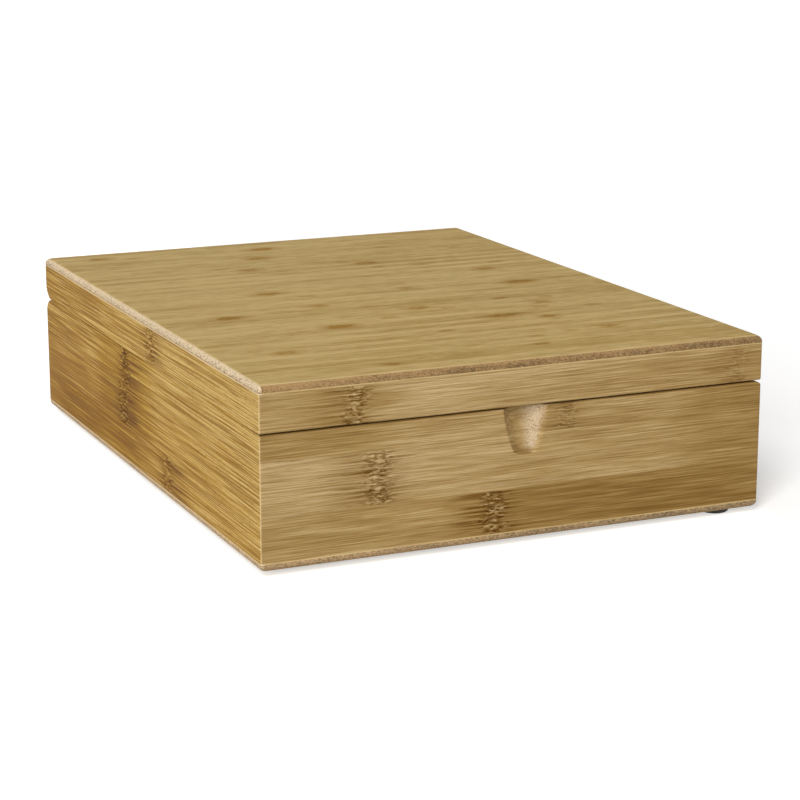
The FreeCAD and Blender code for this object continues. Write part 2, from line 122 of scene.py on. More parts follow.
class BoxFinish(bpy.types.PropertyGroup):
    """Colours of the materials of the box."""

    bamboo_light: colour("Bamboo light", "Pale fibres of the walls", (0.60, 0.455, 0.245))
    bamboo_mid: colour("Bamboo middle", "Main tone of the walls", (0.425, 0.290, 0.116))
    bamboo_dark: colour("Bamboo dark", "Dark fibres of the walls", (0.235, 0.130, 0.034))
    # Painted highlight along the eased upright corners, besides their sanded wear.
    worn_edge_highlight: colour("Worn edge", "Sanded upright corners", (0.62, 0.47, 0.28))
    # Painted pale as a highlight on the scoop's lit right wall, besides the cut fibres' own
    # colour.
    cut_fibre_highlight: colour("Cut fibre", "Fibres cut across in the scoop", (0.58, 0.46, 0.32))
    node_dark: colour("Node dark", "Dark flecks in the nodes", (0.42, 0.30, 0.14))
    # Also the painted shade along the seam and at the foot of the scoop.
    node_stain_and_shade: colour("Node stain", "Brown smear beside the nodes", (0.44, 0.32, 0.15))
    # It also warms the painted shade low at the rear of the left wall.
    varnish: colour("Varnish", "Thick warm varnish in the stained stretches", (1.0, 0.95, 0.2))
    smudge: colour("Smudge", "Nodes that show in the veneer's strips", (0.64, 0.47, 0.13))
    veneer_light: colour("Veneer light", "Pale fibres of the top veneer", (0.565, 0.408, 0.168))
    veneer_dark: colour("Veneer dark", "Dark fibres of the top veneer", (0.375, 0.242, 0.064))
    fibreboard: colour("Fibreboard", "Core of the two panels", (0.255, 0.157, 0.068))
    # Also painted light: the lit left edge of the panel cores and the veneer's left and front
    # edges.
    fibreboard_pale_lit: colour("Pale fibreboard", "Its dry sanded left edge", (0.72, 0.575, 0.385))
    brass: colour("Brass", "Hinges, pins and screws", (0.70, 0.50, 0.22))
    rubber: colour("Rubber", "Feet", (0.012, 0.012, 0.012))


# --- Surfaces ---


def arc(centre, radius, start, end, steps):
    """Points of a circle arc: the centre plus the radius times cosine and sine."""
    angle = np.radians(np.linspace(start, end, steps))
    return np.column_stack((centre[0] + radius * np.cos(angle),
                            centre[1] + radius * np.sin(angle)))


def grid_faces(rows, columns, start):
    """Corner numbers of the quads of a grid of points that is stored row by row."""
    first = start + (np.arange(rows - 1)[:, None] * columns + np.arange(columns - 1)).ravel()
    return np.column_stack((first, first + 1, first + columns + 1, first + columns))


def solid(name, grids, caps=()):
    """A closed mesh from grids of points and flat end caps.

    Points that fall together are joined, a quad that loses a corner becomes a triangle,
    and one that loses two is dropped.  All faces are then turned outward, and edges of
    more than 35 degrees stay sharp.
    """
    points = np.concatenate([grid.reshape(-1, 3) for grid in grids])
    faces, start = [], 0
    for grid in grids:
        faces.append(grid_faces(grid.shape[0], grid.shape[1], start))
        start += grid.shape[0] * grid.shape[1]
    unique, joined = np.unique(np.round(points / MERGED_WITHIN).astype(np.int64), axis=0,
                               return_inverse=True)
    joined = joined.ravel()
    quads = joined[np.concatenate(faces)]
    kept = quads != np.roll(quads, -1, axis=1)
    kept[kept.sum(axis=1) < 3] = False
    corners = [quads[kept]]
    totals = [kept.sum(axis=1)[kept.any(axis=1)]]
    for cap in caps:
        numbers = joined[cap]
        numbers = numbers[numbers != np.roll(numbers, -1)]
        corners.append(numbers)
        totals.append([len(numbers)])
    corners, totals = np.concatenate(corners), np.concatenate(totals)
    mesh = bpy.data.meshes.new(name)
    mesh.vertices.add(len(unique))
    mesh.vertices.foreach_set("co", (unique * MERGED_WITHIN).astype(np.float32).ravel())
    mesh.loops.add(len(corners))
    mesh.loops.foreach_set("vertex_index", corners.astype(np.int32))
    mesh.polygons.add(len(totals))
    mesh.polygons.foreach_set("loop_start", (np.cumsum(totals) - totals).astype(np.int32))
    mesh.update(calc_edges=True)
    mesh.validate()
    outward = bmesh.new()
    outward.from_mesh(mesh)
    bmesh.ops.recalc_face_normals(outward, faces=outward.faces[:])
    outward.to_mesh(mesh)
    outward.free()
    mesh.shade_smooth()
    mesh.set_sharp_from_angle(angle=math.radians(35))
    return mesh


def add(name, data):
    """A new object in the scene."""
    item = bpy.data.objects.new(name, data)
    bpy.context.scene.collection.objects.link(item)
    return item


def place(mesh, material, body, slot, *nodes):
    """Shows a finished mesh in place of CAD nodes; it moves with their body."""
    piece = add(mesh.name, mesh)
    mesh.materials.append(material)
    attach(piece, body)
    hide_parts(*nodes)
    return piece


def dress(material, *nodes):
    """Gives CAD nodes a finish and leaves their shape alone."""
    for node in nodes:
        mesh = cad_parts[node].data
        mesh.materials.clear()
        mesh.materials.append(material)


# --- Walls ---


def drop(distance, radius):
    """How far a rounded edge lies below its rim: the radius less the height of the arc."""
    inside = np.clip(radius - distance, 0, radius)
    return radius - np.sqrt(radius * radius - inside * inside)


def edge_rows(*radii):
    """Distances from a face at which the arcs of the given radii are sampled."""
    turn = np.radians(np.linspace(0, 90, 10))
    return np.unique(np.round(np.concatenate([r * (1 - np.cos(turn)) for r in radii]), 8))


def scoop_fillet(sizes, z):
    """What the corner radius of the cutter takes off the scoop's depth near its foot."""
    return drop(z - RIM + sizes.scoop_height, sizes.scoop_corner)


def scoop_stand_off(sizes, z):
    """Distance of the leaned cutter's axis in front of the face at a height."""
    at_rim = sizes.scoop_diameter / 2 / math.cos(sizes.scoop_lean) - sizes.scoop_depth
    return at_rim - (z - RIM) * math.tan(sizes.scoop_lean)


def scoop_half_width(sizes, z):
    """Half the width of the scoop on the front face: the chord of the cutter's circle there."""
    least = 2 * MM
    offset = (scoop_stand_off(sizes, z) + scoop_fillet(sizes, z)) * math.cos(sizes.scoop_lean)
    square = (sizes.scoop_diameter / 2) ** 2 - offset ** 2
    return np.sqrt(np.maximum(square, least ** 2))


def scoop_recess(sizes, x, z):
    """How far the scoop lies behind the front face, with a softened edge.

    Inside the cutter it is the depth of a leaned cylinder less its corner fillet, outside
    it the distance to the cylinder, counted negative.  Half the sum of a depth and the
    root of its square plus a small square rounds the edge.
    """
    radius, tilt = sizes.scoop_diameter / 2, math.cos(sizes.scoop_lean)
    stand_off = scoop_stand_off(sizes, z)
    across = np.hypot(x, stand_off * tilt)
    chord = np.sqrt(np.maximum(radius ** 2 - x ** 2, 0)) / tilt - stand_off
    depth = np.where(across < radius, chord, radius - across) - scoop_fillet(sizes, z)
    depth = np.minimum(depth, (z - RIM + sizes.scoop_height) * 2)
    soft = 0.3 * MM
    return 0.5 * (depth + np.sqrt(depth * depth + soft * soft))


def hinge_notch(sizes, x, y):
    """How deep the hinges are let into the edge of a rear wall.

    It is the thickness of the leaf, and round the knuckles what a circle about the axis of
    the hinge takes off below or above the edge.
    """
    axis = sum(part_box("hinge_right_pin"), Vector()) / 2
    low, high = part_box("hinge_right_base_leaf")
    radius = high.y - axis.y + LEAF_FIT
    knuckle = np.sqrt(np.maximum(radius ** 2 - (y - axis.y) ** 2, 0)) - (axis.z - RIM)
    inside = (np.abs(x) > low.x - LEAF_FIT) & (np.abs(x) < high.x + LEAF_FIT)
    return inside * np.maximum(knuckle, sizes.leaf_thickness)


def board_rows(sizes, side, foot):
    """Depths and heights of a board's profile, up the face, over the rim and down again.

    The heights are shares of the board's height.  They are close together about the foot
    of the scoop, which is given as a share or as None.
    """
    rows = edge_rows(sizes.arris, sizes.rim_ease, sizes.rim_round, sizes.hinge_round)
    if side == "rear":
        knuckle_rows = np.linspace(2.8, 7.2, 23) * MM
        rows = np.concatenate((rows, knuckle_rows))
    across = np.unique(np.concatenate((rows, WALL - edge_rows(sizes.arris), [WALL])))
    upright = np.linspace(0, 1, 5)
    if foot:
        upright = np.unique(np.concatenate((
            np.linspace(0, foot - 0.02, 4), np.linspace(foot - 0.008, foot + 0.05, 16),
            np.linspace(foot + 0.05, 1, 40))))
    depth = np.concatenate((0 * upright, across, WALL + 0 * upright, across[::-1]))
    rise = np.concatenate((upright, 1 + 0 * across, upright[::-1], 0 * across))
    return depth[:, None], rise[:, None]


def board_columns(sizes, side, ends):
    """Places along a board as shares of half its length, and the angle round its corners."""
    leaf_ends = []
    if side == "rear":
        leaf_ends = [sign * (box.x + way * (LEAF_FIT + part))
                     for way, box in zip((-1, 1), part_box("hinge_right_base_leaf"))
                     for part in (-0.02 * MM, 0.02 * MM) for sign in (-1, 1)]
    fine = edge_rows(sizes.rim_ease, sizes.rim_round, sizes.hinge_round) / ends
    share = np.unique(np.concatenate((-1 + fine, np.linspace(-0.9, 0.9, 19),
                                      np.array(leaf_ends) / ends, 1 - fine)))
    turn = np.radians(np.linspace(0, 45, 5))[1:]
    corner = np.concatenate((-turn[::-1], 0 * share, turn))
    return np.concatenate((-1 + 0 * turn, share, 1 + 0 * turn)), corner


def scooped_columns(sizes, share, corner, half, height):
    """Columns that follow the chord of the scoop and blend into the ends of the board.

    Inside the scoop a column is a share of the half chord.  Outside, it moves evenly from
    a little more than the half chord to the half length.
    """
    margin = np.array([0.008, 0.02, 0.04, 0.08, 0.15])
    inner = np.sort(np.concatenate((np.linspace(-1, 1, 61), 1 + margin, -1 - margin)))
    beside = np.abs(share) > margin[-1]
    outer, corner = share[beside], corner[beside]
    chord = scoop_half_width(sizes, np.clip(height, RIM - sizes.scoop_height, RIM))
    blend = np.clip((np.abs(outer) - 0.1) / 0.9, 0, 1)
    shift = sizes.scoop_offset * (1 - blend)
    clear = (1 + margin[-1]) * chord
    away = np.sign(outer) * (clear + (half - clear) * blend) + shift
    near = inner * chord + sizes.scoop_offset
    left, right = outer < 0, outer > 0
    along = np.concatenate((away[:, left], near, away[:, right]), axis=1)
    return along, np.concatenate((corner[left], 0 * inner, corner[right]))


def board(name, sizes, side, bottom, top, height_at, base_at=None, scooped=False):
    """A mitred wall board as one closed sweep.

    A profile of depths behind the outer face and heights is carried along the wall.  Seen
    from above, each depth follows a rounded rectangle that is moved inward by it, so the
    ends meet at 45 degrees.  The heights are stretched to height_at(x, y, depth) and base_at.
    Up to a share of 0.8 of the half length, a column keeps its place at every depth.
    """
    ends, reach = HALF_WIDTH, HALF_DEPTH
    if side in ("left", "right"):
        ends, reach = reach, ends
    foot = (RIM - sizes.scoop_height - bottom) / (top - bottom) if scooped else None
    depth, rise = board_rows(sizes, side, foot)
    share, corner = board_columns(sizes, side, ends)
    slack = np.maximum(sizes.corner_ease - depth, 0)
    half = ends - np.maximum(sizes.corner_ease, depth)
    kept = 0.8
    beyond = np.maximum(np.abs(share) - kept, 0) / (1 - kept) * (half - kept * ends)
    straight = np.sign(share) * (np.minimum(np.abs(share), kept) * ends + beyond)
    height = bottom + rise * (top - bottom)
    if scooped:
        straight, corner = scooped_columns(sizes, share, corner, half, height)
    along = straight + slack * np.sin(corner)
    outward = reach - np.maximum(sizes.corner_ease, depth) + slack * np.cos(corner)
    if scooped:
        recess = scoop_recess(sizes, along - sizes.scoop_offset,
                              np.minimum(height, RIM - sizes.rim_ease))
        outward = outward - recess * (1 - depth / WALL)
    x, y = {"front": (along, -outward), "rear": (-along, outward),
            "right": (outward, along), "left": (-outward, -along)}[side]
    low = bottom + (base_at(x, y, depth) if base_at else 0)
    high = top - (height_at(x, y, depth) if height_at else 0)
    z = low + rise * (high - low)
    points = np.stack(np.broadcast_arrays(x, y, z), axis=-1)
    points = np.concatenate((points, points[:1]))
    count = points.shape[1]
    ring = np.arange(points.shape[0] - 1) * count
    return solid(name, [points], [ring, (ring + count - 1)[::-1]])


def base_rim_drop(sizes, side, x, y, depth):
    """How far the rim of the base lies below its level: the deepest rounded edge there."""
    front = drop(depth if side == "front" else y + HALF_DEPTH, sizes.rim_ease)
    corner = HALF_WIDTH - np.abs(x) + HALF_DEPTH - np.abs(y)
    edges = [front, drop(HALF_WIDTH - x, sizes.rim_round), drop(corner, sizes.rim_corner),
             drop(HALF_DEPTH - y, sizes.hinge_round),
             drop(x + HALF_WIDTH, sizes.arris), drop(WALL - depth, sizes.arris)]
    if side == "rear":
        edges.append(hinge_notch(sizes, x, y))
    return np.maximum.reduce(np.broadcast_arrays(*edges))


def lid_edge_lift(sizes, side, x, y, depth):
    """How far the lower edge of the lid is lifted by its rounds.

    The left wall hangs lower instead, behind the front corner, and closes the seam.
    """
    edges = [drop(HALF_DEPTH - y, sizes.hinge_round),
             drop(depth, sizes.arris if side == "left" else sizes.rim_ease),
             drop(WALL - depth, sizes.arris)]
    if side == "rear":
        edges.append(hinge_notch(sizes, x, y))
    lift = np.maximum.reduce(np.broadcast_arrays(*edges))
    start, run = 6 * MM, 25 * MM
    behind = np.clip((y + HALF_DEPTH - start) / run, 0, 1)
    return lift - sizes.seam_close * behind if side == "left" else lift


# --- Panels ---


def place_layer(sizes, node, rows, material, body, slot="bamboo_veneer"):
    """Places a layer of a panel: rows of (inset, height) carried round the outline, closed.

    The outline is a rounded rectangle, moved inward by the inset of each row.
    """
    turn = np.radians(np.linspace(0, 90, 7))
    corner_x, corner_y = np.repeat([[1, -1, -1, 1], [1, 1, -1, -1]], len(turn), axis=1)
    angle = np.concatenate([turn + quarter * math.pi / 2 for quarter in range(4)])
    inset, height = (column[:, None] for column in np.asarray(rows, float).T)
    radius = sizes.corner_ease + 0.3 * inset
    x = corner_x * (HALF_WIDTH - inset - radius) + radius * np.cos(angle)
    y = corner_y * (HALF_DEPTH - inset - radius) + radius * np.sin(angle)
    points = np.stack(np.broadcast_arrays(x, y, height), axis=-1)
    points = np.concatenate((points, points[:, :1]), axis=1)
    count = points.shape[1]
    ring = np.arange(count - 1)
    mesh = solid(node + "_piece", [points], [ring[::-1], ring + (len(rows) - 1) * count])
    place(mesh, material, body, slot, node)


def rounded_rows(sizes, low, high, edge, upward):
    """Rows of a layer whose part near the edge level follows the panel's round-over arc."""
    heights = np.linspace(low, high, 12)
    return np.column_stack((drop((edge - heights) * upward, sizes.panel_round), heights))


# --- Small parts ---


def turned(profile, centre, steps=48):
    """A surface of revolution: radius times cosine and sine of the angle round an upright."""
    radius, height = (column[:, None] for column in np.asarray(profile, float).T)
    angle = np.linspace(0, 2 * math.pi, steps + 1)
    flat = radius * np.cos(angle), radius * np.sin(angle), height
    return np.stack(np.broadcast_arrays(*flat), axis=-1) + np.asarray(centre)


def slat_outline(half_length, height, crossings, edge, reach):
    """Corners of a slat seen from its side, with notches that run from an edge to reach."""
    half = SLAT / 2 + SLAT_FIT
    notches = [(crossing + way * half, z) for crossing in crossings
               for way, z in ((-1, edge), (-1, reach), (1, reach), (1, edge))]
    low, high = [], notches[::-1]
    if edge == 0:
        low, high = notches, []
    return [(-half_length, 0)] + low + [(half_length, 0), (half_length, height)] + high + \
        [(-half_length, height)]


# --- Shader maths ---


class Wire:
    """One output of a shader node.  Arithmetic with wires and numbers adds Math nodes."""

    def __init__(self, socket):
        self.socket = socket

    def node(self, kind, settings=None, inputs=None, output=0):
        """Adds a node of any kind: its settings come first, then its values and links."""
        tree = self.socket.id_data
        made = tree.nodes.new("ShaderNode" + kind)
        for name, value in (settings or {}).items():
            if name == "stops":
                elements = made.color_ramp.elements
                for element, (position, shade) in zip(elements, (value[0], value[-1])):
                    element.position, element.color = position, shade
                for position, shade in value[1:-1]:
                    elements.new(position).color = shade
            else:
                setattr(made, name, value)
        for name, value in (inputs or {}).items():
            if isinstance(value, Wire):
                tree.links.new(value.socket, made.inputs[name])
            else:
                made.inputs[name].default_value = value
        return Wire(made.outputs[output])

    def math(self, operation, *values):
        return self.node("Math", {"operation": operation}, dict(enumerate(values)))

    def __add__(self, other):
        return self.math("ADD", self, other)

    def __sub__(self, other):
        return self.math("SUBTRACT", self, other)

    def __mul__(self, other):
        return self.math("MULTIPLY", self, other)

    def __radd__(self, other):
        return self.math("ADD", other, self)

    def __rsub__(self, other):
        return self.math("SUBTRACT", other, self)

    def __rmul__(self, other):
        return self.math("MULTIPLY", other, self)

    def __truediv__(self, other):
        return self.math("DIVIDE", self, other)

    def __rtruediv__(self, other):
        return self.math("DIVIDE", other, self)

    def __abs__(self):
        return self.math("ABSOLUTE", self)

    def rise(self, low, high, start=0.0, end=1.0):
        """0 below low, 1 above high and a smooth step between."""
        return self.node("MapRange", {"interpolation_type": "SMOOTHSTEP"},
                         {0: self, 1: low, 2: high, 3: start, 4: end})

    def fall(self, low, high):
        """1 below low, 0 above high and a smooth step between."""
        return self.rise(low, high, 1.0, 0.0)

    def at_most(self, other):
        return self.math("MINIMUM", self, other)

    def squared(self):
        return self * self

    def ramp(self, *stops):
        """The colour at this wire's value between stops of a position and a colour."""
        return self.node("ValToRGB", {"stops": stops}, {0: self})

    def mix(self, low, high, blend="MIX"):
        """Mixes two colours by this wire."""
        return self.node("Mix", {"data_type": "RGBA", "blend_type": blend},
                         {0: self, 6: low, 7: high}, 2)

    def vector(self, x, y, z):
        return self.node("CombineXYZ", None, {0: x, 1: y, 2: z})

    def grain(self, x, y, z, detail=2.0, roughness=0.5):
        """Noise from 0 to 1 at a place that is counted in cells."""
        return self.node("TexNoise", None, {"Vector": self.vector(x, y, z), "Scale": 1.0,
                                            "Detail": detail, "Roughness": roughness})

    def dice(self):
        """A number from 0 to 1 that is fixed for each value of this wire."""
        return self.node("TexWhiteNoise", {"noise_dimensions": "1D"}, {"W": self})


def rgba(shade, gain=1.0):
    return tuple(channel * gain for channel in shade) + (1.0,)


def stained(shade, tint, gain=1.0):
    """A colour seen through a clear tinted varnish."""
    return rgba([channel * part for channel, part in zip(shade, tint)], gain)


def empty_tree(owner):
    """The cleared node tree of a material or a world."""
    owner.use_nodes = True
    owner.node_tree.nodes.clear()
    return owner.node_tree


def show(wire, output="OutputMaterial"):
    """Joins a wire to a new output node of its tree."""
    tree = wire.socket.id_data
    tree.links.new(wire.socket, tree.nodes.new("ShaderNode" + output).inputs[0])


def new_material(name):
    """A material with an empty Principled shader, and its place in millimetres as wires."""
    material = bpy.data.materials.new(name)
    tree = empty_tree(material)
    shader = tree.nodes.new("ShaderNodeBsdfPrincipled")
    show(Wire(shader.outputs[0]))
    here = Wire(tree.nodes.new("ShaderNodeTexCoord").outputs["Object"])
    scaled = here.node("VectorMath", {"operation": "SCALE"}, {0: here, "Scale": 1000.0})
    axes = [scaled.node("SeparateXYZ", None, {0: scaled}, axis) for axis in range(3)]
    return material, shader, axes


def connect(shader, **inputs):
    """Sets sockets of the shader; Base_Color stands for Base Color."""
    for name, value in inputs.items():
        socket = shader.inputs[name.replace("_", " ")]
        if isinstance(value, Wire):
            shader.id_data.links.new(value.socket, socket)
        else:
            socket.default_value = value


def bump(height, distance):
    """A normal from a height from 0 to 1 that stands for so many metres."""
    return height.node("Bump", None, {"Height": height, "Distance": distance, "Strength": 1.0})


# --- Materials ---


def bamboo_nodes(along, z, ragged, nodes):
    """Masks of the nodes and of the brown smears beside them, with ragged edges."""
    band, smear = 0.0 * z, 0.0 * z
    for centre, low, high, half, strength in nodes:
        inside = z.rise(low - 0.3, low + 0.9) * z.fall(high - 0.9, high + 0.3)
        away = abs(along + ragged * 14.0 - centre)
        band = band + inside * away.fall(half * 0.5, half * 1.6) * strength
        away = abs(along + ragged * 36.0 - centre + half * 0.9)
        smear = smear + inside * away.fall(half * 0.6, half * 4.4) * strength
    return band, smear


def bamboo_stains_and_shade(along, z, ragged, stains_and_shade):
    """Mask of the long darker stretches; on the left wall the one low at the rear is painted
    shade.
    """
    stain_and_shade = 0.0 * z
    for centre, low, high, half, strength in stains_and_shade:
        inside = z.rise(low - 1.5, low + 1.5) * z.fall(high - 1.5, high + 1.5)
        stain_and_shade = stain_and_shade + inside * abs(along + ragged * 40.0 - centre).fall(
            half * 0.6, half * 1.2) * strength
    return stain_and_shade


def scoop_masks(sizes, x, y, z):
    """Masks of the pale cut fibres on the lit right wall of the scoop, partly a painted
    highlight, and of the painted shade at its foot.

    Up runs from 0 at the foot to 1 at the rim, and across widens with it.
    """
    up = (z - (RIM - sizes.scoop_height) / MM) * (MM / sizes.scoop_height)
    across = (x - sizes.scoop_offset / MM) / (up * 0.6 + 0.45)
    behind = y - FRONT_FACE
    opened_and_lit = behind.rise(0.3, 0.8) * behind.fall(7, 8) * \
        across.rise(-3, 7) * across.fall(7, 12.5) * up.rise(0, 0.25)
    foot = behind.rise(0.05, 0.25) * behind.fall(1.2, 2.4) * \
        up.rise(-0.15, -0.05) * up.fall(0.15, 0.4) * across.rise(-18, -14) * across.fall(4, 10)
    return opened_and_lit, foot


def pressed_bamboo(name, finish, side, nodes, seed, glue_lines=(), tint=(1, 1, 1), crisp=1.0,
                   stretch=1.0, painted_falloff=(0, 0), stains_and_shade=(), cut=None):
    """Flat-pressed bamboo: wide strips glued edge to edge, with fibres along the board.

    Noise that is stretched along the fibres gives broad bands, streaks, fine grain and
    short dashes; thin dark lines run where one more such noise crosses its middle.  A node
    is a ragged band across one strip with dark and pale flecks and a brown smear; it is
    given as its place along the fibres, the strip's heights, its half width and its
    strength.  Long soft darker stretches are given the same way; on the left wall the one
    low at the rear is painted shade.  Crisp strengthens the fine lines, stretch makes the
    fibres longer, and the slow change of tone per metre, along the fibres and upward, is
    painted shade.  Cut gives the masks of the scoop at a place: pale cut fibres on its lit
    side, partly a painted highlight, and painted shade at its foot.  A dark band along the
    seam between lid and base is painted shade too.
    """
    material, shader, (x, y, z) = new_material(name)
    along, deep = (y, x) if side in ("left", "right") else (x, y)
    fibre = along / stretch
    strip = 0.0 * z
    for line in glue_lines:
        strip = strip + z.math("GREATER_THAN", z, line)
    shift = strip * 61.7 + seed
    ragged = z.grain(along * 0.02 + shift, z * 0.9, deep * 0.9) - 0.5
    band, smear = bamboo_nodes(along, z, ragged, nodes)
    stain_and_shade = bamboo_stains_and_shade(along, z, ragged, stains_and_shade)
    curl = (z.grain(along * 0.14 + shift, z * 0.25, deep * 0.25, 1.0) - 0.5) * band * 3.5
    height, inward = z + curl, deep * 0.4 + curl

    def fibres(lengthwise, density, *detail):
        """Noise about zero, with so many cells to a millimetre across the fibres."""
        return z.grain(lengthwise + shift, height * density, inward * density, *detail) - 0.5

    broad = fibres(along * 0.009, 0.09)
    middle = fibres(fibre * 0.010, 0.36)
    streak = fibres(fibre * 0.018, 1.0, 2.0, 0.6)
    fine = fibres(fibre * 0.035, 1.8, 2.0, 0.6)
    crossing = fibres(fibre * 0.012, 0.50, 2.0, 0.6)
    fleck = z.grain(along * 0.26 + shift, height, inward, 3.0, 0.7)
    lines = abs(crossing).fall(0.010, 0.045) * (streak + 0.5).rise(0.30, 0.55)
    dashes = z.grain(along * 0.20 + shift, height * 1.8, inward * 1.8, 1.0).rise(0.58, 0.70)
    tone = 0.52 + broad * 0.5 + middle * 0.16 + (streak * 0.25 + fine * 1.2) * crisp
    tone = tone + ((strip + seed).dice() - 0.5) * 0.10 - stain_and_shade * 0.16
    # Painted shade: a slow fall-off of tone along the board and toward its foot.
    tone = tone + along * (painted_falloff[0] * MM) + (z - 44.0) * (painted_falloff[1] * MM)
    paler = [part ** 0.5 for part in tint]
    wood = tone.ramp((0.05, stained(finish.bamboo_dark, tint)),
                     (0.48, stained(finish.bamboo_mid, tint)),
                     (0.92, stained(finish.bamboo_light, paler)))
    dark = (lines * 0.36 + dashes * 0.16) * crisp
    wood = dark.at_most(0.8).mix(wood, stained(finish.bamboo_dark, tint, 0.95))
    smear = (smear * (0.42 + streak * 3.4 + lines * 0.5) + stain_and_shade * 0.3).at_most(1.0)
    wood = smear.mix(wood, rgba(finish.node_stain_and_shade), "MULTIPLY")
    # On the left wall this also warms and darkens the painted shade low at the rear.
    wood = (stain_and_shade * (0.8 - 0.8 * tint[2])).mix(wood, rgba(finish.varnish), "MULTIPLY")
    pale = (band * fleck.fall(0.34, 0.46) * 0.65).at_most(1.0)
    dark = (band * fleck.rise(0.47, 0.58)).at_most(1.0)
    wood = pale.mix(wood, stained(finish.bamboo_light, paler, 1.05))
    wood = dark.mix(wood, rgba(finish.node_dark), "MULTIPLY")
    # Painted shade: a dark brown band along the seam between lid and base, on all but the left
    # face.
    seam = abs(z - (RIM + LID_EDGE) / 2 / MM).fall(0.3, 1.1) * 0.6 * \
        x.rise(LEFT_FACE + 0.1, LEFT_FACE + 0.6)
    wood = seam.mix(wood, rgba(finish.node_stain_and_shade), "MULTIPLY")
    for line in glue_lines:
        wood = (abs(z - line).fall(0.05, 0.22) * 0.30).mix(wood, rgba(finish.bamboo_dark, 0.7))
    # The upright corners are painted pale: sanded wear and a painted highlight on the eased
    # edge.
    corner = abs(x).rise(RIGHT_FACE - 0.7, RIGHT_FACE - 0.35) * \
        abs(y).rise(REAR_FACE - 0.7, REAR_FACE - 0.35)
    wood = (corner * (0.55 + streak * 1.5)).mix(wood, rgba(finish.worn_edge_highlight))
    if cut:
        opened_and_lit, foot = cut(x, y, z)
        # Painted shade at the foot of the scoop.
        wood = (foot * 0.55).mix(wood, rgba(finish.node_stain_and_shade), "MULTIPLY")
        # The cut fibres show pale only on the scoop's right wall, the lit one: partly a painted
        # highlight.
        ends = z.grain(x * 1.1, y * 1.6, z * 1.6, 2.0, 0.7)
        wood = (opened_and_lit * (0.7 + (ends - 0.5) * 4.0)).at_most(0.85).mix(
            wood, rgba(finish.cut_fibre_highlight))
    relief = streak * 0.6 + fine * 0.7 - lines * 0.4 - dashes * 0.3 + fleck * band * 0.25
    connect(shader, Base_Color=wood, Roughness=0.55 + fine * 0.25 + band * 0.1,
            Normal=bump(relief, 0.00006), Specular_IOR_Level=0.05)
    return material


def strip_veneer(name, finish, width, seed, smudges=()):
    """Edge-pressed bamboo veneer: strips a few millimetres wide with their fibres along X.

    Each strip has its own tone, and its nodes are short soft smudges.  A strong smudge is
    an ellipse with a soft halo.  The left and front edges are sanded pale, and painted paler
    still as light: on the lit left edge and as a highlight along the front.
    """
    material, shader, (x, y, z) = new_material(name)
    wave = (z.grain(x * 0.004, y * 0.02, seed, 1.0) - 0.5) * 3.0
    cell = (y + wave) / width + seed
    strip = cell.math("FLOOR", cell)
    within = cell.math("FRACT", cell)
    shift = strip * 13.7 + seed
    tone = strip.dice()
    broad = z.grain(x * 0.016 + shift, y * 0.08, z * 0.1)
    streak = z.grain(x * 0.04 + shift, y * 0.7, z * 1.1, 3.0, 0.55)
    fine = z.grain(x * 0.12 + shift, y * 2.0, z * 3.6, 2.0, 0.6)
    smudge = 0.0 * z
    for centre_x, centre_y, half, strength in smudges:
        spread = ((x - centre_x) / half).squared() + ((y - centre_y) / 4.2).squared()
        smudge = smudge + (spread.fall(0.0, 3.4) * 0.55 + spread.fall(0.0, 0.9)) * strength
    faint_x = ((strip + 0.37).dice() - 0.5) * 250
    middle = abs(within - 0.5).fall(0.32, 0.5)
    faint = abs(x - faint_x).fall(1.5, 6.5) * middle * (strip + 0.71).dice().rise(0.2, 1.2)
    smudge = smudge + faint * 0.55
    patch = z.grain(x * 0.3, y * 1.2, z, 2.0, 0.6)
    mottle = z.grain(x * 0.14 + shift, y * 0.45, z, 2.0, 0.6)
    shade = 0.59 + (tone - 0.5) * 0.19 + (broad - 0.5) * 0.62 + (streak - 0.5) * 0.6 + \
        (fine - 0.5) * 0.9 + (mottle - 0.5) * 0.35 - smudge * 0.05 - x * 0.0004
    wood = shade.ramp((0.12, rgba(finish.veneer_dark, 0.72)), (0.36, rgba(finish.veneer_dark)),
                      (0.78, rgba(finish.veneer_light)))
    wood = (smudge * (0.55 + patch.rise(0.38, 0.6))).at_most(1.0).mix(
        wood, rgba(finish.smudge), "MULTIPLY")
    # Sanded edges, painted paler as light: strongly on the lit left, as a highlight along the
    # front.
    sanded = x.fall(LEFT_FACE + 1.2, LEFT_FACE + 2.2) * 0.7 + \
        y.fall(FRONT_FACE + 1.6, FRONT_FACE + 3.0) * 0.22
    wood = sanded.at_most(0.8).mix(wood, rgba(finish.fibreboard_pale_lit))
    joint = abs(within - 0.5).rise(0.46, 0.5) * 0.12
    wood = joint.mix(wood, rgba(finish.veneer_dark, 0.7))
    connect(shader, Base_Color=wood, Roughness=0.62 + (fine - 0.5) * 0.2,
            Normal=bump(streak * 0.4 + fine * 0.6, 0.00004), Specular_IOR_Level=0.05)
    return material


